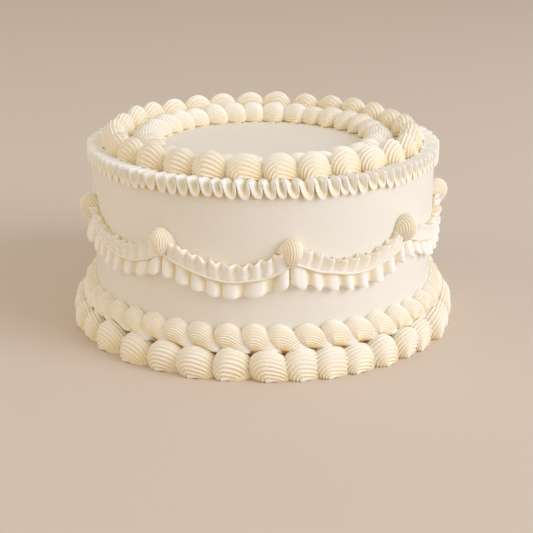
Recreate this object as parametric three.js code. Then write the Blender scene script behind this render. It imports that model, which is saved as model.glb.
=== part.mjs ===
// A round celebration cake, iced smooth, with piped shell borders, a rim ruffle and swagged frills.
// Millimetres, +Z up. Angles are degrees round the cake, from the front (-Y) towards +X.
import * as THREE from 'three';

// Clear gap between pieces that touch
const GAP = 0.3;

// Body: a smooth drum whose shoulder slopes away under the rim ruffle
const BODY_RADIUS = 102;
const BODY_HEIGHT = 104.5;
const SHOULDER = 7;
const BODY_SEGMENTS = 90;

// Shell borders. A crest angle is where one shell of the ring is highest.
// A dip is the share of a shell's height or width that is left in the crease between two shells.
// A belly is where a section is widest, as a share of its height or of its width out from the wall.
const SHELL_CREST = 0.4;
const SHELL_LEAN = 0.72;
const TOP_BELLY = 0.3;
const BASE_BELLY = 0.45;
const TOP_OUTER = {
  count: 30, crestAngle: 5.7, radius: 88, halfWidth: 8.2, height: 14,
  points: 9, steps: 4, heightDip: 0.58, widthDip: 0.78, flute: 0.05,
};
const TOP_INNER = {
  count: 32, crestAngle: 174.25, radius: 70, halfWidth: 8.2, height: 8.8,
  points: 6, steps: 3, heightDip: 0.6, widthDip: 0.74, flute: 0.03,
};
const BASE_LOWER = {
  count: 37, crestAngle: -0.8, outerRadius: 118.3, height: 17.5, wallHeight: 13, bellyHeight: 8,
  fromAngle: -58, toAngle: 90, points: 5, steps: 4, dip: 0.7, flute: 0.05,
};
const BASE_UPPER = {
  count: 45, crestAngle: -2.7, outerRadius: 109.8, height: 30, wallHeight: 28.5, bellyHeight: 22.5,
  footHeight: 14.2, fromAngle: -40, toAngle: 84, points: 4, steps: 4, dip: 0.8, flute: 0.04,
};

// Rim ruffle: a ribbon lying on the shoulder, whose free edge waves up and down
const RUFFLE_WAVES = 108;
const RUFFLE_OUTER_RADIUS = 104.9;
const RUFFLE_INNER_RADIUS = 96;
const RUFFLE_LOW = 97;
const RUFFLE_HIGH = 107.2;
const RUFFLE_EDGE = 1.3;
const RUFFLE_TROUGH_AT = 0.66;
const RUFFLE_CREST_GRIP = 0.55;

// Swags: nine equal spans between drop shells, each line given by its height at the ends and its sag
const SWAG_COUNT = 9;
const SWAG_ANGLE = 8.6;
const SWAG_SPAN = 360 / SWAG_COUNT;
const SWAG_LEAN = 1.2;
const SIDE_RISE = 6;
const FRILL_TOP = { ends: 73, sag: 11.5 };
const FRILL_SEAM = { ends: 62.5, sag: 10 };
const FRILL_HEM = { ends: 52, sag: 8.3 };
const FRILL_ROOT = 2.3;
const FRILL_EDGE = 1.8;
const UPPER_FRILL = { pleats: 10, inset: 4, inReach: 2.2, outReach: 4.6 };
const LOWER_FRILL = { pleats: 8, inset: 0.5, inReach: 2.4, outReach: 6.4 };
const BEAD = { radius: 1, reach: 4, inset: 1.8, steps: 10, sides: 4 };

// Drop shells at the swag points, head up and tail down
const DROP = {
  head: 80, tail: 62.6, halfWidth: 6.5, reach: 9.2, widest: 0.62, fullness: 0.7,
  tip: 0.02, rows: 6, points: 6,
};

const SMOOTH_ICING = 0xeee2cf;
const PIPED_ICING = 0xf1e5cb;
const SMOOTH_ROUGHNESS = 0.45;
const PIPED_ROUGHNESS = 0.55;

const WALL_RADIUS = BODY_RADIUS + GAP;
const TOP_LEVEL = BODY_HEIGHT + GAP;
const FULL_TURN = 360;

const radians = THREE.MathUtils.degToRad;
const lerp = THREE.MathUtils.lerp;

// A point at a radius, an angle round the cake and a height
function polar(radius, angle, height) {
  const turn = radians(angle);
  return [radius * Math.sin(turn), -radius * Math.cos(turn), height];
}

// A closed solid through rows of points that are closed loops of equal length.
// The rows either run on into the first one, as in a ring, or end in two flat caps.
function loftSolid(rows, isRing) {
  const loop = rows[0].length;
  const positions = rows.flat(2);
  const triangles = [];
  const spans = isRing ? rows.length : rows.length - 1;
  for (let row = 0; row < spans; row += 1) {
    const here = row * loop;
    const next = ((row + 1) % rows.length) * loop;
    for (let point = 0; point < loop; point += 1) {
      const after = (point + 1) % loop;
      triangles.push(here + point, next + point, next + after);
      triangles.push(here + point, next + after, here + after);
    }
  }
  if (!isRing) {
    const last = (rows.length - 1) * loop;
    for (let point = 1; point < loop - 1; point += 1) {
      triangles.push(0, point, point + 1);
      triangles.push(last, last + point + 1, last + point);
    }
  }
  const geometry = new THREE.BufferGeometry();
  geometry.setAttribute('position', new THREE.Float32BufferAttribute(positions, 3));
  geometry.setIndex(triangles);
  geometry.computeVertexNormals();
  return geometry;
}

// Points of an elliptical arc in a section of radius and height, with every second one cut in as a flute
function flutedArc(centre, radii, fromAngle, toAngle, points, flute) {
  return Array.from({ length: points }, (unused, index) => {
    const angle = radians(lerp(fromAngle, toAngle, index / (points - 1)));
    const isFlute = index % 2 === 0 && index > 0 && index < points - 1;
    const size = isFlute ? 1 - flute : 1;
    return [centre[0] + radii[0] * size * Math.cos(angle), centre[1] + radii[1] * size * Math.sin(angle)];
  });
}

// How full a shell is, from 0 in its crease to 1 at its crest, with a steep head and a sloping tail
function shellFullness(share) {
  return Math.sqrt(Math.max(0, Math.sin(Math.PI * share ** SHELL_LEAN)));
}

// A ring of shells: sectionAt(fullness) gives each section as points of radius and height
function shellRing(ring, sectionAt) {
  const pitch = FULL_TURN / ring.count;
  const rows = [];
  for (let shell = 0; shell < ring.count; shell += 1) {
    for (let step = 0; step < ring.steps; step += 1) {
      const share = step / ring.steps;
      const angle = ring.crestAngle + (shell + share - SHELL_CREST) * pitch;
      const section = sectionAt(shellFullness(share));
      rows.push(section.map(([radius, height]) => polar(radius, angle, height)));
    }
  }
  return loftSolid(rows, true);
}

// Shells standing on the flat top: a round-backed section with a flat foot
function topShells(ring) {
  const footAngle = THREE.MathUtils.radToDeg(Math.asin(TOP_BELLY / (1 - TOP_BELLY)));
  return shellRing(ring, (fullness) => {
    const height = ring.height * lerp(ring.heightDip, 1, fullness);
    const halfWidth = ring.halfWidth * lerp(ring.widthDip, 1, fullness);
    const centre = [ring.radius, TOP_LEVEL + TOP_BELLY * height];
    const radii = [halfWidth, (1 - TOP_BELLY) * height];
    return flutedArc(centre, radii, -footAngle, 180 + footAngle, ring.points, ring.flute);
  });
}

// Shells in the corner at the cake's foot: a section against the wall, shrinking towards its lower corner
function baseShells(ring, footHeight) {
  const centreRadius = lerp(WALL_RADIUS, ring.outerRadius, BASE_BELLY);
  const radii = [ring.outerRadius - centreRadius, ring.height - ring.bellyHeight];
  const arc = flutedArc(
    [centreRadius, ring.bellyHeight], radii, ring.fromAngle, ring.toAngle, ring.points, ring.flute,
  );
  const outline = [[WALL_RADIUS, footHeight], ...arc, [WALL_RADIUS, ring.wallHeight]];
  return shellRing(ring, (fullness) => {
    const scale = lerp(ring.dip, 1, fullness);
    return outline.map(([radius, height]) => [
      WALL_RADIUS + (radius - WALL_RADIUS) * scale,
      Math.max(footHeight, footHeight + (height - footHeight) * scale),
    ]);
  });
}

function cakeBody() {
  const profile = [
    [0, 0],
    [BODY_RADIUS, 0],
    [BODY_RADIUS, BODY_HEIGHT - SHOULDER],
    [BODY_RADIUS - SHOULDER, BODY_HEIGHT],
    [0, BODY_HEIGHT],
  ];
  const geometry = new THREE.LatheGeometry(
    profile.map(([radius, height]) => new THREE.Vector2(radius, height)), BODY_SEGMENTS,
  );
  return geometry.rotateX(Math.PI / 2);
}

// Height just clear of the sloping shoulder at a radius
function aboveShoulder(radius) {
  return BODY_HEIGHT + BODY_RADIUS - SHOULDER - radius + GAP * Math.SQRT2;
}

// One section of the rim ruffle, with its free edge at a share of the way from trough (0) to crest (1)
function ruffleSection(rise) {
  const edgeHeight = lerp(RUFFLE_LOW, RUFFLE_HIGH - RUFFLE_EDGE, rise);
  const grip = lerp(1, RUFFLE_CREST_GRIP, rise);
  const gripRadius = lerp(RUFFLE_INNER_RADIUS, WALL_RADIUS, grip);
  return [
    [RUFFLE_INNER_RADIUS, aboveShoulder(RUFFLE_INNER_RADIUS)],
    [gripRadius, aboveShoulder(gripRadius)],
    [RUFFLE_OUTER_RADIUS - RUFFLE_EDGE / 2, edgeHeight],
    [RUFFLE_OUTER_RADIUS, edgeHeight + RUFFLE_EDGE],
  ];
}

function rimRuffle() {
  const pitch = FULL_TURN / RUFFLE_WAVES;
  const rows = [];
  for (let wave = 0; wave < RUFFLE_WAVES; wave += 1) {
    for (const [share, rise] of [[0, 1], [RUFFLE_TROUGH_AT, 0]]) {
      const section = ruffleSection(rise);
      rows.push(section.map(([radius, height]) => polar(radius, (wave + share) * pitch, height)));
    }
  }
  return loftSolid(rows, true);
}

// Height of a swag line at a share of its span, with the small rise towards the cake's sides
function swagHeight(line, share, angle) {
  const lean = share ** SWAG_LEAN;
  const sideRise = SIDE_RISE * Math.sin(radians(angle)) ** 2;
  return line.ends - line.sag * 4 * lean * (1 - lean) + sideRise;
}

// Rows along one swag: sectionAt(share, angle, step) gives each section as points of radius and height
function swagRows(startAngle, inset, steps, sectionAt) {
  const rows = [];
  for (let step = 0; step <= steps; step += 1) {
    const angle = startAngle + lerp(inset, SWAG_SPAN - inset, step / steps);
    const share = (angle - startAngle) / SWAG_SPAN;
    const section = sectionAt(share, angle, step);
    rows.push(section.map(([radius, height]) => polar(radius, angle, height)));
  }
  return rows;
}

// A pleated strip from the seam to a free edge, which swings in and out from step to step
function frill(startAngle, shape, edgeLine, isUpper) {
  const rows = swagRows(startAngle, shape.inset, shape.pleats * 2, (share, angle, step) => {
    const seam = swagHeight(FRILL_SEAM, share, angle) + (isUpper ? GAP : -GAP);
    const edge = swagHeight(edgeLine, share, angle);
    const reach = step % 2 === 0 ? shape.inReach : shape.outReach;
    const innerRadius = WALL_RADIUS + Math.max(0, reach - FRILL_EDGE);
    const section = [
      [WALL_RADIUS, seam],
      [WALL_RADIUS + FRILL_ROOT, seam],
      [WALL_RADIUS + reach, edge],
      [innerRadius, edge],
    ];
    return isUpper ? section : section.reverse();
  });
  return loftSolid(rows, false);
}

// A thin bead of icing over the seam between the two frills
function seamBead(startAngle) {
  const rows = swagRows(startAngle, BEAD.inset, BEAD.steps, (share, angle) => {
    const centre = [WALL_RADIUS + BEAD.reach, swagHeight(FRILL_SEAM, share, angle)];
    return Array.from({ length: BEAD.sides }, (unused, side) => {
      const turn = (2 * Math.PI * side) / BEAD.sides;
      return [centre[0] + BEAD.radius * Math.cos(turn), centre[1] + BEAD.radius * Math.sin(turn)];
    });
  });
  return loftSolid(rows, false);
}

// A drop-shaped shell on the wall, made of sections across it from its tail up to its head
function dropShell(angle) {
  const rise = SIDE_RISE * Math.sin(radians(angle)) ** 2;
  const rows = [];
  for (let row = 0; row < DROP.rows; row += 1) {
    const share = lerp(1 - DROP.tip, DROP.tip, row / (DROP.rows - 1));
    const fullness = Math.sin(Math.PI * share ** DROP.widest) ** DROP.fullness;
    const height = lerp(DROP.head, DROP.tail, share) + rise;
    rows.push(Array.from({ length: DROP.points }, (unused, index) => {
      const turn = (Math.PI * index) / (DROP.points - 1);
      const across = DROP.halfWidth * fullness * Math.cos(turn);
      const out = WALL_RADIUS + DROP.reach * fullness * Math.sin(turn);
      const [radialX, radialY] = polar(1, angle, 0);
      return [out * radialX - across * radialY, out * radialY + across * radialX, height];
    }));
  }
  return loftSolid(rows, false);
}

const cake = new THREE.Group();

function addPiece(name, geometry, color, roughness) {
  const material = new THREE.MeshStandardMaterial({ color, roughness, metalness: 0 });
  const piece = new THREE.Mesh(geometry, material);
  piece.name = name;
  cake.add(piece);
}

function addPiped(name, geometry) {
  addPiece(name, geometry, PIPED_ICING, PIPED_ROUGHNESS);
}

addPiece('cake_body', cakeBody(), SMOOTH_ICING, SMOOTH_ROUGHNESS);
addPiped('top_outer_shells', topShells(TOP_OUTER));
addPiped('top_inner_shells', topShells(TOP_INNER));
addPiped('rim_ruffle', rimRuffle());
addPiped('base_lower_shells', baseShells(BASE_LOWER, 0));
addPiped('base_upper_shells', baseShells(BASE_UPPER, BASE_UPPER.footHeight));
for (let swag = 0; swag < SWAG_COUNT; swag += 1) {
  const angle = SWAG_ANGLE + swag * SWAG_SPAN;
  const number = swag + 1;
  addPiped(`swag_upper_frill_${number}`, frill(angle, UPPER_FRILL, FRILL_TOP, true));
  addPiped(`swag_lower_frill_${number}`, frill(angle, LOWER_FRILL, FRILL_HEM, false));
  addPiped(`swag_bead_${number}`, seamBead(angle));
  addPiped(`swag_shell_${number}`, dropShell(angle));
}

export default cake;
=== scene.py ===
# The looks of a round ivory cake with piped shell borders, a rim ruffle and swagged frills.
import math
from dataclasses import dataclass, replace

import bmesh
import bpy
import numpy as np
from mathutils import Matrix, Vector


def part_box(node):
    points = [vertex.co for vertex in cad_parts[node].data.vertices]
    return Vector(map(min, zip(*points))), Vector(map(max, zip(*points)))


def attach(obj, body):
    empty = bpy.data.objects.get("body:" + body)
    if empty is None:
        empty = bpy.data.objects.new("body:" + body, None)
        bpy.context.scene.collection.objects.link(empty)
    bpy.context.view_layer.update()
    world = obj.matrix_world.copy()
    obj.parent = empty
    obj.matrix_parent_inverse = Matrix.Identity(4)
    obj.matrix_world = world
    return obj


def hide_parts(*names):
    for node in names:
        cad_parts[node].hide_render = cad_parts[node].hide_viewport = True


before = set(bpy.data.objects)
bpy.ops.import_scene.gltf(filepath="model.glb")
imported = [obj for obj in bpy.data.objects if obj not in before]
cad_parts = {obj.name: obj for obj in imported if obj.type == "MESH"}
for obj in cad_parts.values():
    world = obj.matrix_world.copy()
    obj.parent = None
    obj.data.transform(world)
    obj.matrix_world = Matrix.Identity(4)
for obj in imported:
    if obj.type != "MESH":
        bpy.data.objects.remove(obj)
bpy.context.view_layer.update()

# The pieces' lengths are in millimetres and angles in degrees, as on the solids. Their meshes are made in
# metres, and the materials, the floor, the lights and the camera are in metres too. Angles run round the
# cake from the front (-Y) towards +X.
MM = 0.001
FULL_TURN = 360.0

# Body, measured from its solid
BODY_LOW, BODY_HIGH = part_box("cake_body")
WALL = -BODY_LOW.y / MM
TOP = BODY_HIGH.z / MM
BODY_SEGMENTS = 192

# How far pieces are sunk into the icing that carries them, and the legs of shells into what they stand on
SINK = 0.5
LEG_SINK = 0.4

# Seeded, so that every run makes the same cake
RANDOM = np.random.default_rng(1908)


def lerp(low, high, share):
    return low + (high - low) * share


def smooth_step(low, high, value):
    share = np.clip((value - low) / (high - low), 0.0, 1.0)
    return share * share * (3.0 - 2.0 * share)


def polar(radius, angle, height):
    """Points at radii, angles round the cake and heights, which are numbers or arrays that go together."""
    turn = np.radians(angle)
    places = np.broadcast_arrays(radius * np.sin(turn), -radius * np.cos(turn), height)
    return np.stack(places, axis=-1)


# Shortest normal that is still scaled to unit length
TINY = 1e-9


def grid_normals(grid):
    """Unit normals of a grid of points, from its rows and columns."""
    along = np.gradient(grid, axis=0)
    across = np.gradient(grid, axis=1)
    normal = np.cross(along, across)
    length = np.linalg.norm(normal, axis=-1, keepdims=True)
    return normal / np.maximum(length, TINY)


# Meshes

def new_mesh(name, points, faces, painted_shade):
    """A closed mesh of points in millimetres, facing outwards, with a painted shade value at each.

    The value is 0 where the icing lies open, and 1 or more in the deepest creases, where the painted shade
    is darkest.
    """
    mesh = bpy.data.meshes.new(name)
    mesh.from_pydata((points * MM).tolist(), [], faces)
    turned = bmesh.new()
    turned.from_mesh(mesh)
    bmesh.ops.recalc_face_normals(turned, faces=turned.faces)
    turned.to_mesh(mesh)
    turned.free()
    attribute = mesh.attributes.new("painted_shade", "FLOAT", "POINT")
    attribute.data.foreach_set("value", painted_shade.astype(np.float32))
    return mesh


def add_object(name, data):
    """An object that holds a mesh, a light or a camera, in the scene."""
    added = bpy.data.objects.new(name, data)
    bpy.context.scene.collection.objects.link(added)
    return added


def union_mesh(name, meshes):
    """One mesh from closed meshes that overlap."""
    objects = [add_object(f"{name}_part_{index}", mesh) for index, mesh in enumerate(meshes)]
    for tool in objects[1:]:
        modifier = objects[0].modifiers.new("join", "BOOLEAN")
        modifier.operation = "UNION"
        modifier.solver = "MANIFOLD"
        modifier.object = tool
    graph = bpy.context.evaluated_depsgraph_get()
    joined = bpy.data.meshes.new_from_object(objects[0].evaluated_get(graph))
    for used in objects:
        bpy.data.objects.remove(used)
    return joined


# Faces that meet more sharply than this show an edge
SHARP_ANGLE = 60.0


def finish_piece(name, mesh, material, node):
    """Makes the mesh a piece of the object that stands for its node."""
    mesh.materials.clear()
    mesh.materials.append(material)
    mesh.shade_smooth()
    mesh.set_sharp_from_angle(angle=math.radians(SHARP_ANGLE))
    piece = add_object(name, mesh)
    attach(piece, "root")
    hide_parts(node)


def lemon_faces(rows, columns):
    """Faces of a grid whose rows close up and whose first and last columns are single points."""
    inner = columns - 2
    first_pole = rows * inner
    faces = []
    for row in range(rows):
        here = row * inner
        after = ((row + 1) % rows) * inner
        faces.append((first_pole, here, after))
        for column in range(inner - 1):
            faces.append((here + column, here + column + 1, after + column + 1, after + column))
        faces.append((here + inner - 1, first_pole + 1, after + inner - 1))
    return faces


def lemon_points(grid):
    """Points or values of such a grid, in the order that lemon_faces counts them."""
    inner = grid[:, 1:-1].reshape(-1, *grid.shape[2:])
    middle = len(grid) // 2
    poles = np.stack([grid[middle, 0], grid[middle, -1]])
    return np.concatenate([inner, poles])


def ring_faces(rows, columns, closed_rows):
    """Faces of a grid whose columns close up, and whose rows close up or end in caps."""
    faces = []
    spans = rows if closed_rows else rows - 1
    for row in range(spans):
        here = row * columns
        after = ((row + 1) % rows) * columns
        for column in range(columns):
            beside = (column + 1) % columns
            faces.append((here + column, here + beside, after + beside, after + column))
    if not closed_rows:
        last = (rows - 1) * columns
        faces.append(tuple(range(columns - 1, -1, -1)))
        faces.append(tuple(last + column for column in range(columns)))
    return faces


def offset_faces(faces, offset):
    return [tuple(offset + corner for corner in face) for face in faces]


# Piped shells

@dataclass
class Shell:
    """One piped shell: ridges rise at its head, arch over its crest and run down into its tail.

    Its section is more pointed the higher the steepness. The ridges at its sides are lower, and nest round
    a point. They keep more of the head's or the tail's length the smaller the hold, and the tops of those
    half as high as the crest lean towards the head. The head bulges most at the belly, a share of the
    height, and tucks in below it. The tail is more pointed the less its roundness, which is given at the
    sides and at the crest, and it narrows by the share of its taper. Valleys are narrower the higher their
    power, and get painted shade, less of it at the crest. The ridges fade out along the tail from a share
    of the way on. Painted shade may also darken the legs, the head and tail where they meet the next
    shells, and the sides at their feet. The mesh has so many rows along the ridges, and so many points
    across each.
    """

    head: float
    tail: float
    height: float
    half_width: float
    ridge_pitch: float
    ridge_depth: float
    rows: int
    points: int
    belly: float = 0.3
    tuck: float = 45.0
    nest: float = 0.0
    steepness: float = 2.1
    head_hold: float = 0.8
    tail_hold: float = 0.15
    tail_round: tuple = (1.15, 1.8)
    crest_lean: float = 1.0
    taper: float = 0.6
    valley: float = 0.9
    fade_from: float = 0.92
    # Painted shade: in the valleys at the crest, on the legs, at the ends near the next shells and at the
    # sides
    crest_valley_shade: float = 0.35
    leg_shade: float = 0.0
    gap_shade: float = 0.0
    side_shade: float = 0.0


# Steps in which a shell's section is measured, and the share of its rows on its head
SECTION_STEPS = 721
HEAD_SHARE = 0.5

# How narrow the painted shade in a valley is, how deep that painted shade is low on a shell, and over
# which shares of the shell's height it eases towards the crest
VALLEY_SHADE_POWER = 1.1
LOW_VALLEY_SHADE = 0.8
VALLEY_SHADE_HEIGHTS = (0.1, 0.9)

# How much deeper a shell's painted shade is at its very foot, and how high that reaches
FOOT_SHADE_GAIN = 0.6
FOOT_REACH = 1.6

# Shares of the way along a shell over which painted shade darkens its head and tail towards the next shells
HEAD_GAP = (0.2, 0.02)
TAIL_GAP = (0.58, 0.8)

# Shares of the crest's height over which the ridges fade out at the sides, and painted shade darkens the
# sides
SIDE_FADE = (0.0, 0.15)
SIDE_GAP = (0.4, 0.1)


def ridge_columns(shape):
    """The turn across a shell of each column of points, and its phase among the ridges."""
    turns = np.radians(np.linspace(-90.0, 90.0, SECTION_STEPS))
    section_up = shape.height * np.cos(turns) ** shape.steepness
    section_out = shape.half_width * np.sin(turns)
    steps = np.hypot(np.diff(section_up), np.diff(section_out))
    length = np.concatenate([[0.0], np.cumsum(steps)])
    ridges = 2 * round((length[-1] / shape.ridge_pitch - 1.0) / 2.0) + 1
    columns = ridges * shape.points + 1
    turn = np.interp(np.linspace(0.0, length[-1], columns), length, turns)
    return turn[None, :], np.linspace(0.0, ridges, columns)[None, :]


def shell_grid(shape, share, turn, shrink):
    """Points (along, across, up) of one shell without its ridges, by share along it and turn across it."""
    middle = shape.nest * (1.0 - shrink)
    peak = shape.height * shrink
    front = middle - shape.head * shrink ** shape.head_hold
    apex = middle - shape.crest_lean * shape.head * shrink * (1.0 - shrink)
    end = middle + shape.tail * shrink ** shape.tail_hold

    rise = np.radians(np.interp(share, [0.0, HEAD_SHARE], [-shape.tuck, 90.0]))
    belly = shape.belly * peak
    below = belly * (1.0 + np.sin(rise) / math.sin(math.radians(shape.tuck)))
    head_up = np.where(rise < 0.0, below, lerp(belly, peak, np.maximum(np.sin(rise), 0.0)))
    head_along = lerp(apex, front, np.maximum(np.cos(rise), 0.0))

    fall = np.pi / 2.0 * np.clip((share - HEAD_SHARE) / (1.0 - HEAD_SHARE), 0.0, 1.0)
    power = 2.0 / lerp(*shape.tail_round, shrink)
    tail_along = lerp(apex, end, np.sin(fall) ** power)
    tail_up = peak * np.maximum(np.cos(fall), 0.0) ** power

    on_head = share < HEAD_SHARE
    along = np.where(on_head, head_along, tail_along)
    up = np.where(on_head, head_up, tail_up)
    across = shape.half_width * np.sin(turn) * (1.0 - shape.taper * (1.0 - np.cos(fall)))
    return np.stack([along, across, up], axis=-1)


def shell_painted_shade(shape, valley, share, up, shrink):
    """How deep the painted shade is at each point of a shell: in a valley, on a leg, at an end or at a
    side.
    """
    valley_shade = lerp(LOW_VALLEY_SHADE, shape.crest_valley_shade, smooth_step(*VALLEY_SHADE_HEIGHTS, up / shape.height))
    painted_shade = valley ** VALLEY_SHADE_POWER * valley_shade
    painted_shade[[0, -1]] += shape.leg_shade
    gap = smooth_step(*HEAD_GAP, share) + smooth_step(*TAIL_GAP, share)
    side = smooth_step(*SIDE_GAP, shrink)
    return np.maximum(painted_shade, np.maximum(shape.gap_shade * gap, shape.side_shade * side))


def shell_form(shape, turn, phase, leg_at):
    """Points (along, across, up) of one shell by row and column, and the painted shade at each.

    Each ridge runs straight on below the shell's foot by the length of its leg, which leg_at gives from how
    far across the ridge lies.
    """
    share = np.linspace(0.0, 1.0, shape.rows)[:, None]
    shrink = np.maximum(np.cos(turn), 0.0) ** shape.steepness
    grid = shell_grid(shape, share, turn, shrink)
    feet = grid[[0, -1]]
    feet[..., 2] -= leg_at(feet[..., 1])
    grid = np.concatenate([feet[:1], grid, feet[1:]])
    share = np.concatenate([share[:1], share, share[-1:]])

    valley = (0.5 + 0.5 * np.cos(2.0 * np.pi * phase)) ** shape.valley
    fade = smooth_step(*SIDE_FADE, shrink) * smooth_step(1.0, shape.fade_from, share)
    depth = shape.ridge_depth * valley * fade
    painted_shade = shell_painted_shade(shape, valley * fade, share, grid[..., 2], shrink)
    return grid - grid_normals(grid) * depth[..., None], painted_shade


@dataclass
class Ring:
    """A ring of shells: its count, where one crest lies, its floor, and how far the shells lean out.

    The tails' ends reach out and droop. A ring with a core depth has a core that much below the shells'
    backs. The shells' feet may be darkened with painted shade, and the whole ring may lie a little towards
    the front. Shells at the back are larger by the share of the growth. Sway moves them round the cake by
    up to so many degrees, most at its angle.
    """

    count: int
    crest_angle: float
    radius: float
    level: float
    lean: float
    floor: float
    unevenness: float
    core_depth: float = 0.0
    tail_out: float = 0.0
    tail_droop: float = 0.0
    foot_shade: float = 0.0
    shift: float = 0.0
    growth: float = 0.0
    sway: float = 0.0
    sway_angle: float = 0.0


# How far the points that ridges nest round are scattered, at an unevenness of 1
NEST_SCATTER = 20.0


def uneven_shell(shape, spread):
    """The same shell, a little larger or smaller each way."""
    factor = RANDOM.normal(1.0, spread, 4)
    nest = shape.nest + RANDOM.normal(0.0, NEST_SCATTER * spread)
    return replace(
        shape, head=shape.head * factor[0], tail=shape.tail * factor[1], height=shape.height * factor[2],
        half_width=shape.half_width * factor[3], nest=nest,
    )


def lean_out(ring, across, up):
    """Radius and height of points of a ring's section, which leans out."""
    lean = math.radians(ring.lean)
    radius = ring.radius + across * math.cos(lean) + up * math.sin(lean)
    height = ring.level - across * math.sin(lean) + up * math.cos(lean)
    return radius, height


# Core of a border: the points of its section, its rows round the cake, and its painted shade
CORE_POINTS = 16
CORE_ROWS = 180
CORE_PAINTED_SHADE = 0.8


def core_ring(name, shape, ring):
    """A plain ring just under the shells of a border, which closes the gaps between them, in painted shade.
    """
    turn = np.radians(np.linspace(-90.0, 90.0, CORE_POINTS))
    across = (shape.half_width - ring.core_depth) * np.sin(turn)
    up = (shape.height - ring.core_depth) * np.cos(turn)
    radius, height = lean_out(ring, across, up)
    radius = np.concatenate([radius[:1], radius, radius[-1:]])[None, :]
    height = np.concatenate([[ring.floor], height, [ring.floor]])[None, :]
    angle = np.linspace(0.0, FULL_TURN, CORE_ROWS, endpoint=False)[:, None]
    points = polar(radius, angle, np.maximum(height, ring.floor))
    faces = ring_faces(CORE_ROWS, radius.size, True)
    return new_mesh(name, points.reshape(-1, 3), faces, np.full(points.size // 3, CORE_PAINTED_SHADE))


def ring_shell(shape, ring, number, turn, phase):
    """Points and painted shade of one shell of a ring, uneven and in its place."""
    lean = math.radians(ring.lean)

    def leg_at(across):
        foot = ring.level - across * math.sin(lean)
        return np.maximum(foot - ring.floor, 0.0) / math.cos(lean) + LEG_SINK

    grid, painted_shade = shell_form(uneven_shell(shape, ring.unevenness), turn, phase, leg_at)
    along, across, up = lemon_points(grid).T
    turned, tilt, slip = RANDOM.normal(0.0, ring.unevenness, 3)
    pitch = FULL_TURN / ring.count
    place = ring.crest_angle + (number + slip) * pitch
    place = place + ring.sway * math.cos(2.0 * math.radians(place - ring.sway_angle))
    size = 1.0 + ring.growth * (0.5 - 0.5 * math.cos(math.radians(place)))
    up = size * up
    across = size * across + turned * along + tilt * up
    angle = place + np.degrees(along / ring.radius)
    swept = smooth_step(0.0, shape.tail, along)
    radius, height = lean_out(ring, across, up)
    height = np.maximum(height - ring.tail_droop * swept, ring.floor)
    points = polar(radius + ring.tail_out * swept, angle, height) - (0.0, ring.shift, 0.0)
    # Painted shade, deeper at the shells' feet
    foot = smooth_step(FOOT_REACH, 0.0, height - ring.floor)
    return points, lemon_points(painted_shade) * (1.0 + FOOT_SHADE_GAIN * foot) + ring.foot_shade * foot


def shell_ring(name, shape, ring):
    """A mesh of shells piped one after another round the cake.

    Neighbours overlap, so they are in separate groups, which are then joined: every second shell, those
    between, and the last one of an odd count.
    """
    turn, phase = ridge_columns(shape)
    faces = lemon_faces(shape.rows + 2, turn.size)
    groups = [range(0, ring.count - ring.count % 2, 2), range(1, ring.count, 2)]
    if ring.count % 2:
        groups.append([ring.count - 1])
    meshes = []
    for group in groups:
        points = []
        shades = []
        group_faces = []
        for number in group:
            shell_points, shell_shades = ring_shell(shape, ring, number, turn, phase)
            group_faces += offset_faces(faces, len(points) * len(shell_points))
            points.append(shell_points)
            shades.append(shell_shades)
        meshes.append(new_mesh(name, np.concatenate(points), group_faces, np.concatenate(shades)))
    if ring.core_depth:
        meshes.append(core_ring(name, shape, ring))
    return union_mesh(name, meshes)


# The two borders on the top, and the two at the foot
TOP_OUTER_SHELL = Shell(
    head=10.0, tail=12.5, height=14.6, half_width=9.0, ridge_pitch=2.45, ridge_depth=0.95,
    rows=30, points=6, tuck=30.0, nest=-1.2, steepness=1.35, head_hold=1.1, crest_lean=0.45,
    valley=0.5, crest_valley_shade=0.45, gap_shade=0.45,
)
TOP_OUTER_RING = Ring(
    count=30, crest_angle=5.7, radius=88.0, level=TOP - SINK, lean=0.0, floor=TOP - SINK,
    unevenness=0.04, foot_shade=0.4,
)
TOP_INNER_SHELL = Shell(
    head=8.4, tail=11.0, height=9.8, half_width=9.2, ridge_pitch=1.5, ridge_depth=0.6,
    rows=24, points=4, nest=-2.0, steepness=1.25, gap_shade=0.3,
)
TOP_INNER_RING = Ring(
    count=32, crest_angle=174.25, radius=69.0, level=TOP - SINK, lean=0.0, floor=TOP - SINK,
    unevenness=0.04, foot_shade=0.8, shift=2.0, growth=0.2,
)
BASE_LOWER_SHELL = Shell(
    head=9.6, tail=14.2, height=13.6, half_width=9.7, ridge_pitch=2.6, ridge_depth=1.0,
    rows=30, points=5, belly=0.2, tuck=25.0, nest=-1.2, steepness=1.1, head_hold=0.9, tail_hold=0.5,
    tail_round=(1.55, 1.8), crest_lean=0.3, taper=0.1, crest_valley_shade=0.5, gap_shade=0.45,
)
BASE_LOWER_RING = Ring(
    count=37, crest_angle=-2.6, radius=107.5, level=3.6, lean=20.0, floor=0.0, unevenness=0.06,
    core_depth=7.0, sway=3.0, sway_angle=-10.0,
)
BASE_UPPER_SHELL = Shell(
    head=8.0, tail=14.0, height=7.4, half_width=7.2, ridge_pitch=1.55, ridge_depth=0.65,
    rows=26, points=4, belly=0.2, tuck=25.0, nest=-1.8, steepness=1.1, head_hold=1.3, tail_hold=0.45,
    tail_round=(1.6, 1.8), crest_lean=0.5, taper=0.0, fade_from=0.7, crest_valley_shade=0.55, leg_shade=0.95,
    side_shade=0.6,
)
BASE_UPPER_RING = Ring(
    count=45, crest_angle=-2.7, radius=103.0, level=21.0, lean=29.0, floor=12.0, unevenness=0.04,
    tail_out=1.5, tail_droop=5.0,
)


# Pleated ribbons

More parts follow.
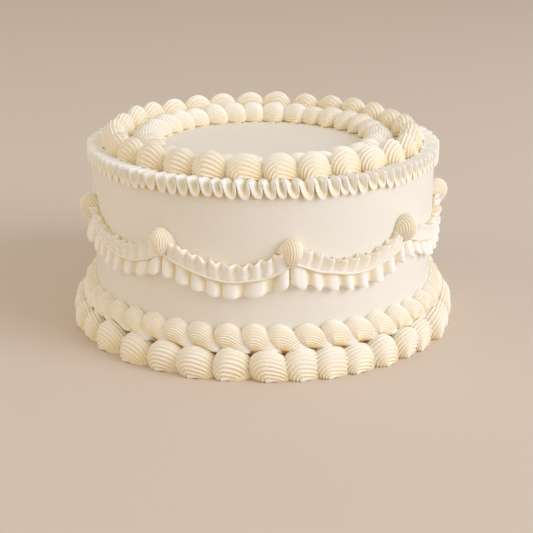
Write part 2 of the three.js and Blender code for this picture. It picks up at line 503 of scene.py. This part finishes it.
# Shortest and longest wave of uneven ones, to their mean
WAVE_LIMITS = (0.6, 1.4)

# Share of the way to its free edge up to which a ribbon lies against its backing
BACKED_SHARE = 0.8


def pleat(phase, broad, square, lean):
    """Shift along a pleated edge at a phase: the folds get broader, squarer or lean over."""
    return broad * np.sin(phase) + square * np.sin(2.0 * phase) - lean * np.cos(phase)


def pillow(phase, power):
    """Round folds from -1 to 1 with narrow grooves between, which are sharper the lower the power."""
    return 2.0 * np.abs(np.cos(phase / 2.0)) ** power - 1.0


def wave_marks(count, spread, lengths=()):
    """Where waves start, as shares of the whole. They are of the lengths given, or else uneven."""
    if not lengths:
        lengths = np.clip(RANDOM.normal(1.0, spread, count), *WAVE_LIMITS)
    starts = np.concatenate([[0.0], np.cumsum(lengths)])
    return starts / starts[-1]


def wave_noise(wave, count, closed, spread):
    """One random value for each wave, of a spread about 0 and blended from wave to wave."""
    values = RANDOM.normal(0.0, 1.0, count + 1)
    if closed:
        values[-1] = values[0]
    return spread * np.interp(wave, np.arange(count + 1), values)


def ribbon_points(middle, thickness, edge_share, facing, backing=None):
    """Loops of points round a ribbon, given its middle surface by row and by share across it.

    Facing is 1 if its outer face is on the side of the surface's normal, and otherwise -1. Its inner face
    lies against its backing, if it has one, except near its free edge.
    """
    normal = facing * grid_normals(middle)
    share = np.linspace(0.0, 1.0, middle.shape[1])
    rounding = np.clip((share - (1.0 - edge_share)) / edge_share, 0.0, 1.0)
    half = (thickness / 2.0 * np.sqrt(np.maximum(1.0 - rounding ** 2, 0.0)))[..., None]
    outer = middle + normal * half
    inner = middle - normal * half
    if backing is not None:
        inner = lerp(backing, inner, smooth_step(BACKED_SHARE, 1.0, share)[None, :, None])
    return np.concatenate([outer, inner[:, -2::-1]], axis=1)


def ribbon_values(outer, inner):
    """Values of a ribbon's two faces, in the order of the loops of points round it."""
    outer, inner = np.broadcast_arrays(outer, inner)
    return np.concatenate([outer, inner[:, -2::-1]], axis=1).ravel()


# Rim ruffle: a ribbon from its root on the cake's top to its free edge, and its mesh
RUFFLE_ROOT = 95.5
RUFFLE_EDGE = 104.4
RUFFLE_ROOT_HEIGHT = 104.3
RUFFLE_EDGE_HEIGHT = 102.2
RUFFLE_OUT_POWER = 0.55
RUFFLE_DOWN_POWER = 1.5
RUFFLE_STEPS = 18
RUFFLE_SHARES = 11

# Its waves: how far they swing up and down, the share of that at the root, and the lump on their backs
RUFFLE_WAVES = 106
RUFFLE_SWING = 4.5
RUFFLE_ROOT_GATHER = 0.3
RUFFLE_GATHER_POWER = 2
RUFFLE_LUMP = 0.9

# They are pillows at the root, and open into loops of these forms over shares of the way to the edge
RUFFLE_PILLOW = 0.7
RUFFLE_OPENING = (0.25, 0.75)
RUFFLE_BROAD = -1.15
RUFFLE_SQUARE = 0.48
RUFFLE_LEAN = 1.05

# Its thickness, how much thicker it is on the crests, the share of that at the edge, and the round edge
RUFFLE_THICKNESS = 1.15
RUFFLE_SWELL = 1.3
RUFFLE_EDGE_SWELL = 0.4
RUFFLE_ROUNDING = 0.14

# How uneven the waves are in length, swing, height and reach
RUFFLE_UNEVEN = 0.2
RUFFLE_SWING_SPREAD = 0.12
RUFFLE_HEIGHT_SPREAD = 0.3
RUFFLE_REACH_SPREAD = 0.3

# Its painted shade on crests, how much deeper in hollows, beneath from root to edge, and where it eases
# off on the lit edge
RUFFLE_CREST_SHADE = 0.05
RUFFLE_HOLLOW_SHADE = 0.45
RUFFLE_UNDER_SHADES = (0.8, 0.25)
RUFFLE_LIT_EDGE = (0.8, 0.98)

# The band of icing behind the waves, as points of radius and height, and its painted shade, which shows
# between the waves
RUFFLE_BACK = [(95.0, 102.6), (98.0, 102.2), (100.4, 101.2), (102.2, 100.0), (102.2, 97.4), (98.0, 97.4)]
RUFFLE_BACK_SHADE = 0.8


def ruffle_back():
    """Points of the band behind the waves, by row round the cake."""
    radius, height = np.array(RUFFLE_BACK).T[:, None, :]
    angle = np.linspace(0.0, FULL_TURN, BODY_SEGMENTS, endpoint=False)[:, None]
    return polar(radius, angle, height)


def rim_ruffle():
    """Mesh of the ribbon over the cake's top edge, with the band behind it."""
    rows = RUFFLE_WAVES * RUFFLE_STEPS
    wave = (np.arange(rows) / RUFFLE_STEPS)[:, None]
    phase = 2.0 * np.pi * wave
    share = np.linspace(0.0, 1.0, RUFFLE_SHARES)[None, :]
    gather = lerp(RUFFLE_ROOT_GATHER, 1.0, share ** RUFFLE_GATHER_POWER)
    opening = smooth_step(*RUFFLE_OPENING, share)
    marks = wave_marks(RUFFLE_WAVES, RUFFLE_UNEVEN)
    turn = FULL_TURN * np.interp(wave, np.arange(RUFFLE_WAVES + 1), marks)
    swing = RUFFLE_SWING * (1.0 + wave_noise(wave, RUFFLE_WAVES, True, RUFFLE_SWING_SPREAD))
    lift = wave_noise(wave, RUFFLE_WAVES, True, RUFFLE_HEIGHT_SPREAD)
    reach = wave_noise(wave, RUFFLE_WAVES, True, RUFFLE_REACH_SPREAD)

    fold = lerp(pillow(phase, RUFFLE_PILLOW), np.cos(phase), opening)
    crest = 0.5 + 0.5 * fold
    shift = pleat(phase, RUFFLE_BROAD * opening, RUFFLE_SQUARE * opening, RUFFLE_LEAN) * gather
    radius = lerp(RUFFLE_ROOT, RUFFLE_EDGE, share ** RUFFLE_OUT_POWER) + reach * gather
    height = lerp(RUFFLE_ROOT_HEIGHT, RUFFLE_EDGE_HEIGHT + lift, share ** RUFFLE_DOWN_POWER)
    height = height + swing * gather * fold
    height = height + RUFFLE_LUMP * crest * np.sin(np.pi * share)
    middle = polar(radius, turn + np.degrees(shift / RUFFLE_EDGE), height)
    swell = RUFFLE_SWELL * crest ** 2 * lerp(1.0, RUFFLE_EDGE_SWELL, share)
    loop = ribbon_points(middle, RUFFLE_THICKNESS * (1.0 + swell), RUFFLE_ROUNDING, -1.0)
    # Painted shade: light on the crests, deeper in the hollows and beneath, and easing off on the lit edge
    edge = smooth_step(*RUFFLE_LIT_EDGE, share)
    above = RUFFLE_CREST_SHADE + RUFFLE_HOLLOW_SHADE * (1.0 - crest) * (1.0 - edge)
    beneath = lerp(*RUFFLE_UNDER_SHADES, edge)

    back = ruffle_back()
    faces = ring_faces(rows, loop.shape[1], True)
    faces += offset_faces(ring_faces(*back.shape[:2], True), loop.size // 3)
    points = np.concatenate([loop.reshape(-1, 3), back.reshape(-1, 3)])
    painted_shade = np.concatenate([ribbon_values(above, beneath), np.full(back.size // 3, RUFFLE_BACK_SHADE)])
    return new_mesh("rim_ruffle", points, faces, painted_shade)


# Swags: nine spans between drop shells, a little higher at the cake's sides, and lowest just past half way
SWAG_COUNT = 9
SWAG_ANGLE = 8.6
SWAG_SPAN = FULL_TURN / SWAG_COUNT
SWAG_LEAN = 1.2
SIDE_RISE = 6.0

# Swag lines, by their height at the ends and their sag
FRILL_TOP = (73.0, 11.5)
FRILL_SEAM = (62.5, 10.0)
FRILL_HEM = (52.0, 8.3)


def side_rise(angle):
    """How much higher the swags are at an angle than in front."""
    return SIDE_RISE * np.sin(np.radians(angle)) ** 2


def swag_height(line, share, angle):
    """Height of a swag line at a share of its span, which is at an angle round the cake."""
    ends, sag = line
    lean = np.maximum(share, 0.0) ** SWAG_LEAN
    return ends - sag * 4.0 * lean * (1.0 - lean) + side_rise(angle)


@dataclass
class Frill:
    """A pleated strip from the seam to a free edge.

    Its folds swing in and out, growing from the root by the gather power, and are squarer the stiffer they
    are. The part of each fold that stands out grows with its fullness, and folds that are grooved are broad
    and round with narrow grooves between; both are given at the swag's two ends. Skew makes one side of a
    fold steeper, and slant, a share of a fold's length, moves the free edge along. The edge waves up and
    down with the folds, which may flare at the swag's ends. Folds are of random lengths, or of the lengths
    given.
    """

    edge: tuple
    pleats: int
    inset: float
    root_out: float
    edge_out: float
    swing: float
    root_gather: float
    gather_power: float
    thickness: float
    stiffness: float
    fullness: tuple
    grooved: tuple
    skew: float
    slant: float
    edge_wave: float
    end_flare: float
    lengths: tuple = ()


UPPER_FRILL = Frill(
    edge=FRILL_TOP, pleats=10, inset=1.2, root_out=2.4, edge_out=3.2, swing=2.3, root_gather=0.2,
    gather_power=4.0, thickness=1.3, stiffness=0.9, fullness=(0.1, 0.1), grooved=(0.0, 0.0), skew=0.3,
    slant=0.2, edge_wave=0.2, end_flare=0.0,
)
LOWER_FRILL = Frill(
    edge=FRILL_HEM, pleats=8, inset=-0.4, root_out=1.2, edge_out=2.8, swing=2.0, root_gather=0.45,
    gather_power=0.9, thickness=1.0, stiffness=1.4, fullness=(0.6, 0.4), grooved=(0.5, 0.2), skew=0.3,
    slant=0.0, edge_wave=0.3, end_flare=0.5,
)

# The two swags in front, where they are piped otherwise than the rest
ABOVE_SEAM = {
    1: {"slant": 0.4, "skew": 0.6, "gather_power": 1.4, "swing": 2.4, "fullness": (-0.3, -0.3)},
    9: {"slant": 0.0, "skew": 0.1},
}
BELOW_SEAM = {
    1: {"fullness": (0.15, -0.1), "grooved": (0.0, 0.0), "edge_wave": 0.8},
    9: {
        "fullness": (0.6, 0.0), "grooved": (1.0, 0.1), "edge_wave": 0.1,
        "pleats": 7, "lengths": (0.8, 0.9, 0.8, 0.85, 1.1, 1.5, 1.05),
    },
}

# A strip's mesh, the round of its edge, and how near its middle comes to the wall
FRILL_STEPS = 24
FRILL_SHARES = 12
FRILL_ROUNDING = 0.12
FRILL_CLEARANCE = 0.3

# Form of the grooves between grooved folds, how narrow their painted shade is, and the share of a swag
# that flares
GROOVE_POWER = 0.8
GROOVE_NARROWNESS = 6
FLARE_SHARE = 0.2

# How uneven the folds are in length, fullness and swing, and their edges in height and tilt
FRILL_UNEVEN = 0.15
FULLNESS_SPREAD = 0.25
SWING_SPREAD = 0.22
EDGE_SPREAD = 0.7
TILT_SPREAD = 0.4

# A strip's painted shade on crests, how much deeper in hollows, how it eases outwards, and from where it
# fades away on the lit edge
FRILL_CREST_SHADE = 0.12
FRILL_HOLLOW_SHADE = 0.75
FRILL_SHADE_EASING = 0.4
FRILL_LIT_EDGE = 0.9

# Painted shade of the strip's back, and how that eases towards the edge
FRILL_BACK_SHADE = 0.8
FRILL_BACK_SHADE_EASING = 0.3


def frill(name, start, shape):
    """Mesh of a strip along the swag that starts at an angle."""
    rows = shape.pleats * FRILL_STEPS + 1
    wave = (np.arange(rows) / FRILL_STEPS)[:, None]
    phase = 2.0 * np.pi * (wave + 0.5)
    share = np.linspace(0.0, 1.0, FRILL_SHARES)[None, :]
    width = SWAG_SPAN - 2.0 * shape.inset
    pitch = math.radians(width) * WALL / shape.pleats
    gather = lerp(shape.root_gather, 1.0, share ** shape.gather_power)
    marks = wave_marks(shape.pleats, FRILL_UNEVEN, shape.lengths)
    turn = width * np.interp(wave, np.arange(shape.pleats + 1), marks)
    shift = shape.slant * pitch * (1.0 - (1.0 - share) ** 2)
    angle = start + shape.inset + turn + np.degrees(shift / WALL)
    part = (angle - start) / SWAG_SPAN
    grooved = lerp(*shape.grooved, part)

    fullness = lerp(*shape.fullness, part) + wave_noise(wave, shape.pleats, False, FULLNESS_SPREAD)
    skewed = phase + shape.skew * (1.0 - np.cos(phase))
    fold = np.tanh(shape.stiffness * (np.cos(skewed) + fullness)) / math.tanh(shape.stiffness)
    fold = lerp(fold, pillow(phase, GROOVE_POWER), grooved)
    flaring = smooth_step(FLARE_SHARE, 0.0, part) + smooth_step(1.0 - FLARE_SHARE, 1.0, part)
    swing = shape.swing * (1.0 + wave_noise(wave, shape.pleats, False, SWING_SPREAD))
    swing = swing * (1.0 + shape.end_flare * flaring) * gather * fold
    radius = WALL + lerp(shape.root_out, shape.edge_out, share) + swing
    ragged = wave_noise(wave, shape.pleats, False, EDGE_SPREAD) - shape.edge_wave * np.cos(phase)
    ragged = ragged + wave_noise(wave, shape.pleats, False, TILT_SPREAD) * np.sin(phase)
    edge_height = swag_height(shape.edge, part, angle) + ragged
    height = lerp(swag_height(FRILL_SEAM, part, angle), edge_height, share)
    middle = polar(np.maximum(radius, WALL + FRILL_CLEARANCE), angle, height)
    backing = polar(WALL - SINK, angle, height)
    facing = 1.0 if shape.edge > FRILL_SEAM else -1.0
    loop = ribbon_points(middle, shape.thickness, FRILL_ROUNDING, facing, backing)

    # Painted shade in the hollows and grooves, easing towards the lit edge, and on the strip's back
    hollow = np.clip(0.5 - 0.5 * fold, 0.0, 1.0)
    groove = grooved * np.sin(phase / 2.0) ** GROOVE_NARROWNESS
    outside = FRILL_CREST_SHADE + FRILL_HOLLOW_SHADE * np.maximum(hollow * gather, groove)
    outside = outside * (1.0 - FRILL_SHADE_EASING * share) * smooth_step(1.0, FRILL_LIT_EDGE, share)
    painted_shade = ribbon_values(outside, FRILL_BACK_SHADE - FRILL_BACK_SHADE_EASING * share)
    faces = ring_faces(rows, loop.shape[1], False)
    return new_mesh(name, loop.reshape(-1, 3), faces, painted_shade)


# Seam beads: their size and place, and their mesh
BEAD_RADIUS = 0.8
BEAD_OUT = 3.3
BEAD_INSET = 0.4
BEAD_STEPS = 60
BEAD_SIDES = 10

# How a bead wavers up and down, the share of that in and out, and how uneven its thickness is
BEAD_WAVES = 10
BEAD_WOBBLE = 0.3
BEAD_WOBBLE_OUT = 0.5
BEAD_UNEVEN = 0.15

# Its painted shade half way up, and how much less of it lies on its lit top and more on its underside
BEAD_SHADE = 0.4
BEAD_LIT_TOP = 0.3


def seam_bead(name, start):
    """Mesh of the bead along the seam of the swag that starts at an angle."""
    share = np.linspace(0.0, 1.0, BEAD_STEPS)[:, None]
    angle = start + lerp(BEAD_INSET, SWAG_SPAN - BEAD_INSET, share)
    side = 2.0 * np.pi * np.arange(BEAD_SIDES)[None, :] / BEAD_SIDES
    wobble = wave_noise(BEAD_WAVES * share, BEAD_WAVES, False, BEAD_WOBBLE)
    size = BEAD_RADIUS * (1.0 + wave_noise(BEAD_WAVES * share, BEAD_WAVES, False, BEAD_UNEVEN))
    height = swag_height(FRILL_SEAM, (angle - start) / SWAG_SPAN, angle) + wobble
    radius = WALL + BEAD_OUT + size * np.cos(side) + BEAD_WOBBLE_OUT * wobble
    points = polar(radius, angle, height + size * np.sin(side))
    # Painted shade, deeper on the bead's underside than on its lit top
    painted_shade = np.repeat(BEAD_SHADE - BEAD_LIT_TOP * np.sin(side), BEAD_STEPS, axis=0)
    faces = ring_faces(BEAD_STEPS, BEAD_SIDES, False)
    return new_mesh(name, points.reshape(-1, 3), faces, painted_shade.ravel())


# Drop shells at the swag points: their form, the height of their crests, the turn of those that are seen to
# lean sideways, and the spread of the others' turns
DROP_SHELL = Shell(
    head=6.8, tail=10.0, height=9.6, half_width=7.0, ridge_pitch=1.5, ridge_depth=0.6,
    rows=30, points=5, nest=2.0, steepness=1.2, head_hold=1.0, tail_hold=0.8, tail_round=(1.5, 2.0),
    crest_lean=0.1, valley=1.0, crest_valley_shade=0.8, side_shade=0.5,
)
DROP_CREST = 70.3
DROP_TURNS = {1: 14.0, 2: 4.0, 9: -8.0}
DROP_TURN_SPREAD = 12.0


def drop_shell(name, number, angle):
    """Mesh of the drop shell at the swag point at an angle."""
    turn, phase = ridge_columns(DROP_SHELL)
    twist = math.radians(DROP_TURNS.get(number, RANDOM.normal(0.0, DROP_TURN_SPREAD)))

    def leg_at(across):
        return np.maximum(-across * math.sin(twist), 0.0) / math.cos(twist) + LEG_SINK

    grid, painted_shade = shell_form(DROP_SHELL, turn, phase, leg_at)
    along, across, up = lemon_points(grid).T
    sideways = across * math.cos(twist) + (up - 0.5 * DROP_SHELL.height) * math.sin(twist)
    outward = np.maximum(up * math.cos(twist) - across * math.sin(twist), -SINK)
    radius = WALL + outward
    height = DROP_CREST - along + side_rise(angle)
    points = polar(radius, angle + np.degrees(sideways / radius), height)
    return new_mesh(name, points, lemon_faces(*painted_shade.shape), lemon_points(painted_shade))


# Body: the rows of its wall and of its top, its round edge, and the cap in the middle of its top
BODY_ROWS = 36
EDGE_ROUND = 4.0
EDGE_STEPS = 8
CENTRE_RADIUS = 1.0

# Its wall's gentle waves: their depth, their count round the cake, the count and the start in radians of
# the swells in which they come and go, and the height over which they move on by a radian
WAVE_DEPTH = 0.12
WAVES_ROUND = 5.0
SWELLS_ROUND = 2.0
SWELL_START = 1.0
WAVE_RISE = 13.0


def cake_body():
    """Mesh of the drum, from the foot of its wall over its round edge to the middle of its top."""
    edge = np.radians(np.linspace(0.0, 90.0, EDGE_STEPS))[1:]
    wall_heights = np.linspace(0.0, TOP - EDGE_ROUND, BODY_ROWS)
    edge_heights = TOP - EDGE_ROUND * (1.0 - np.sin(edge))
    edge_radii = WALL - EDGE_ROUND * (1.0 - np.cos(edge))
    top_radii = np.linspace(WALL - EDGE_ROUND, CENTRE_RADIUS, BODY_ROWS)[1:]
    radius = np.concatenate([np.full(BODY_ROWS, WALL), edge_radii, top_radii])[:, None]
    height = np.concatenate([wall_heights, edge_heights, np.full(BODY_ROWS - 1, TOP)])[:, None]

    angle = np.linspace(0.0, FULL_TURN, BODY_SEGMENTS, endpoint=False)[None, :]
    turn = np.radians(angle)
    swells = WAVE_DEPTH * np.cos(SWELLS_ROUND * turn + SWELL_START)
    waves = swells * np.sin(WAVES_ROUND * turn + height / WAVE_RISE)
    waves[BODY_ROWS:] = 0.0
    points = polar(radius + waves, angle, height)
    faces = ring_faces(*waves.shape, False)
    return new_mesh("cake_body", points.reshape(-1, 3), faces, np.zeros(waves.size))


# Materials

# Colours of the icing, which is a little uneven, and the ochre and brown painted shade of its shallow and
# deepest creases
SMOOTH_PALE = (0.915, 0.88, 0.81, 1.0)
SMOOTH_DEEP = (0.875, 0.83, 0.745, 1.0)
PIPED_PALE = (0.98, 0.97, 0.96, 1.0)
PIPED_DEEP = (0.97, 0.945, 0.9, 1.0)
PAINTED_SHADE_OCHRE = (0.95, 0.72, 0.26, 1.0)
PAINTED_SHADOW_BROWN = (0.5, 0.26, 0.06, 1.0)

# How much the painted shade in the deepest creases hides the icing's colour, and how deep it is ochre
# before it turns brown
PAINTED_SHADE_SHARE = 0.9
PAINTED_OCHRE_DEPTH = 0.8

# Noise of the colour and the grain, and how rough the grain makes the surface
CLOUD_SCALE = 28.0
CLOUD_DETAIL = 3.0
GRAIN_DETAIL = 4.0
GRAIN_STRENGTH = 0.5
ROUGHNESS_SPREAD = 0.07

# How the icing shines, and how far red, green and blue light go into it
SPECULAR_LEVEL = 0.35
SCATTER_WEIGHT = 0.2
SCATTER_RADIUS = (1.0, 0.6, 0.3)
SCATTER_SCALE = 0.0028


def noise_texture(nodes, links, scale, detail):
    """Values of a noise that stays in place on the piece."""
    coordinates = nodes.new("ShaderNodeTexCoord")
    noise = nodes.new("ShaderNodeTexNoise")
    noise.inputs["Scale"].default_value = scale
    noise.inputs["Detail"].default_value = detail
    links.new(coordinates.outputs["Object"], noise.inputs["Vector"])
    return noise.outputs["Fac"]


def painted_shade_colour(nodes, links, icing):
    """The icing's colour, with painted shade that goes to ochre in its creases and to brown in the deepest.
    """
    attribute = nodes.new("ShaderNodeAttribute")
    attribute.attribute_name = "painted_shade"
    depth = nodes.new("ShaderNodeMath")
    depth.operation = "MULTIPLY"
    depth.use_clamp = True
    depth.inputs[1].default_value = PAINTED_SHADE_SHARE
    links.new(attribute.outputs["Fac"], depth.inputs[0])
    ramp = nodes.new("ShaderNodeValToRGB")
    shallow, deep = ramp.color_ramp.elements
    shallow.position = PAINTED_OCHRE_DEPTH
    shallow.color = PAINTED_SHADE_OCHRE
    deep.position = 1.0
    deep.color = PAINTED_SHADOW_BROWN
    links.new(attribute.outputs["Fac"], ramp.inputs["Fac"])
    tint = nodes.new("ShaderNodeMix")
    tint.data_type = "RGBA"
    links.new(depth.outputs["Value"], tint.inputs["Factor"])
    links.new(icing, tint.inputs["A"])
    links.new(ramp.outputs["Color"], tint.inputs["B"])
    return tint.outputs["Result"]


def icing_material(name, pale, deep, with_painted_shade, grain_scale, grain_height, roughness):
    """Buttercream: ivory, a little uneven in colour, with a fine soft grain, and, if asked for, painted
    shade in its creases.
    """
    material = bpy.data.materials.new(name)
    material.use_nodes = True
    nodes = material.node_tree.nodes
    links = material.node_tree.links
    shader = nodes["Principled BSDF"]

    blend = nodes.new("ShaderNodeMix")
    blend.data_type = "RGBA"
    blend.inputs["A"].default_value = pale
    blend.inputs["B"].default_value = deep
    links.new(noise_texture(nodes, links, CLOUD_SCALE, CLOUD_DETAIL), blend.inputs["Factor"])
    colour = blend.outputs["Result"]
    if with_painted_shade:
        colour = painted_shade_colour(nodes, links, colour)
    links.new(colour, shader.inputs["Base Color"])

    grain = noise_texture(nodes, links, grain_scale, GRAIN_DETAIL)
    bump = nodes.new("ShaderNodeBump")
    bump.inputs["Strength"].default_value = GRAIN_STRENGTH
    bump.inputs["Distance"].default_value = grain_height
    links.new(grain, bump.inputs["Height"])
    links.new(bump.outputs["Normal"], shader.inputs["Normal"])
    gloss = nodes.new("ShaderNodeMapRange")
    gloss.inputs["To Min"].default_value = roughness - ROUGHNESS_SPREAD
    gloss.inputs["To Max"].default_value = roughness + ROUGHNESS_SPREAD
    links.new(grain, gloss.inputs["Value"])
    links.new(gloss.outputs["Result"], shader.inputs["Roughness"])

    shader.inputs["Specular IOR Level"].default_value = SPECULAR_LEVEL
    shader.inputs["Subsurface Weight"].default_value = SCATTER_WEIGHT
    shader.inputs["Subsurface Radius"].default_value = SCATTER_RADIUS
    shader.inputs["Subsurface Scale"].default_value = SCATTER_SCALE
    return material


SMOOTH = icing_material(
    "smooth buttercream", SMOOTH_PALE, SMOOTH_DEEP, with_painted_shade=False, grain_scale=60.0, grain_height=0.0004,
    roughness=0.45,
)
PIPED = icing_material(
    "piped buttercream", PIPED_PALE, PIPED_DEEP, with_painted_shade=True, grain_scale=900.0, grain_height=0.0001,
    roughness=0.5,
)


# The pieces

BORDERS = [
    ("outer_border", TOP_OUTER_SHELL, TOP_OUTER_RING, "top_outer_shells"),
    ("inner_border", TOP_INNER_SHELL, TOP_INNER_RING, "top_inner_shells"),
    ("foot_border", BASE_LOWER_SHELL, BASE_LOWER_RING, "base_lower_shells"),
    ("wall_border", BASE_UPPER_SHELL, BASE_UPPER_RING, "base_upper_shells"),
]


def add_piped(name, mesh, node):
    finish_piece(name, mesh, PIPED, node)


finish_piece("body_icing", cake_body(), SMOOTH, "cake_body")
for border, shell, ring, node in BORDERS:
    add_piped(border, shell_ring(border, shell, ring), node)
add_piped("ruffle", rim_ruffle(), "rim_ruffle")
for number in range(1, SWAG_COUNT + 1):
    start = SWAG_ANGLE + (number - 1) * SWAG_SPAN
    above = f"frill_above_{number}"
    below = f"frill_below_{number}"
    seam = f"seam_{number}"
    drop = f"drop_{number}"
    upper_shape = replace(UPPER_FRILL, **ABOVE_SEAM.get(number, {}))
    lower_shape = replace(LOWER_FRILL, **BELOW_SEAM.get(number, {}))
    add_piped(above, frill(above, start, upper_shape), f"swag_upper_frill_{number}")
    add_piped(below, frill(below, start, lower_shape), f"swag_lower_frill_{number}")
    add_piped(seam, seam_bead(seam, start), f"swag_bead_{number}")
    add_piped(drop, drop_shell(drop, number, start), f"swag_shell_{number}")


# Stage, light and camera

FLOOR_SIZE = 20.0
FLOOR_COLOUR = (0.725, 0.63, 0.545, 1.0)
FLOOR_ROUGHNESS = 0.8


def add_floor():
    material = bpy.data.materials.new("floor")
    material.use_nodes = True
    shader = material.node_tree.nodes["Principled BSDF"]
    shader.inputs["Base Color"].default_value = FLOOR_COLOUR
    shader.inputs["Roughness"].default_value = FLOOR_ROUGHNESS
    half = FLOOR_SIZE / 2.0
    corners = [(-half, -half, 0.0), (half, -half, 0.0), (half, half, 0.0), (-half, half, 0.0)]
    mesh = bpy.data.meshes.new("floor")
    mesh.from_pydata(corners, [], [(0, 1, 2, 3)])
    mesh.materials.append(material)
    add_object("floor", mesh)


LIGHT_TARGET = (0.0, 0.0, 0.06)


def add_light(name, place, size, power, colour):
    data = bpy.data.lights.new(name, "AREA")
    data.shape = "DISK"
    data.size = size
    data.energy = power
    data.color = colour
    light = add_object(name, data)
    light.location = place
    light.rotation_mode = "QUATERNION"
    light.rotation_quaternion = (Vector(LIGHT_TARGET) - Vector(place)).to_track_quat("-Z", "Y")


SKY_COLOUR = (1.0, 0.90, 0.78, 1.0)
SKY_STRENGTH = 0.59


def add_world():
    world = bpy.data.worlds.new("studio")
    world.use_nodes = True
    background = world.node_tree.nodes["Background"]
    background.inputs["Color"].default_value = SKY_COLOUR
    background.inputs["Strength"].default_value = SKY_STRENGTH
    bpy.context.scene.world = world


# Camera, fitted to the rings of shells in the photo
CAMERA_LENS = 75.9
CAMERA_PLACE = (0.0, -0.6605, 0.2542)
CAMERA_PITCH = 19.09
CAMERA_SHIFT = 0.0065


def add_camera():
    data = bpy.data.cameras.new("camera")
    data.lens = CAMERA_LENS
    data.shift_x = CAMERA_SHIFT
    camera = add_object("camera", data)
    camera.location = CAMERA_PLACE
    camera.rotation_euler = (math.radians(90.0 - CAMERA_PITCH), 0.0, 0.0)
    bpy.context.scene.camera = camera


add_floor()
add_world()
add_light("key", place=(2.32, -1.19, 1.33), size=2.0, power=46.6, colour=(0.95, 1.0, 1.12))
add_light("fill", place=(-2.34, -0.63, 1.35), size=2.2, power=12.3, colour=(1.0, 0.88, 0.74))
add_camera()
bpy.context.scene.view_settings.view_transform = "Standard"
